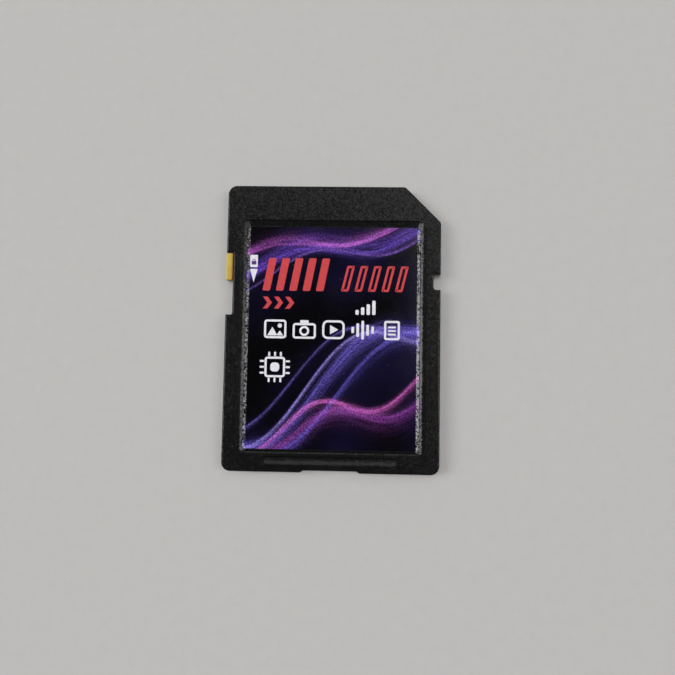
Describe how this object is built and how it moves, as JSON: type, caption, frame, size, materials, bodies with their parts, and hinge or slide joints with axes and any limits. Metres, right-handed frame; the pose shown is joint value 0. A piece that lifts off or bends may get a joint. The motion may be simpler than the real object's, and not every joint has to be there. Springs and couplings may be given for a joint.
{
  "type": "sd memory card",
  "caption": "Thin flash memory card with a cut corner, a recessed glossy label, contact windows on the back and a sliding write-protect tab in its left edge.",
  "frame": {"origin": "centre of the footprint, on the back face that the card lies on", "axes": "+X towards the edge with the key notch and the cut corner, +Y towards the contact edge, +Z out of the label face"},
  "size_m": [0.0241, 0.032, 0.0021],
  "materials": {
    "cover_plastic": "fine spark-eroded grain",
    "label_film": "glossy printed film",
    "switch_plastic": "satin yellow",
    "board_laminate": "dark solder mask",
    "contact_gold": "gold plate",
    "chip_resin": "matt moulding resin",
    "capacitor_body": "sintered ceramic with tinned ends",
    "resistor_body": "black glaze with tinned ends"
  },
  "bodies": {
    "card": {"front_cover": "cover_plastic", "back_cover": "cover_plastic", "label": "label_film", "contact_pad_1": "contact_gold", "contact_pad_2": "contact_gold", "contact_pad_3": "contact_gold", "contact_pad_4": "contact_gold", "contact_pad_5": "contact_gold", "contact_pad_6": "contact_gold", "contact_pad_7": "contact_gold", "contact_pad_8": "contact_gold", "contact_pad_9": "contact_gold", "circuit_board": "board_laminate", "flash_chip": "chip_resin", "controller_chip": "chip_resin", "capacitor_1": "capacitor_body", "capacitor_2": "capacitor_body", "capacitor_3": "capacitor_body", "capacitor_4": "capacitor_body", "resistor_1": "resistor_body", "resistor_2": "resistor_body", "resistor_3": "resistor_body", "resistor_4": "resistor_body"},
    "switch": {"write_protect_switch": "switch_plastic"}
  },
  "joints": [
    {"name": "write_protect_slide", "type": "slide", "parent": "card", "child": "switch", "axis": [0, -1, 0], "range_m": [0, 0.00385]}
  ]
}
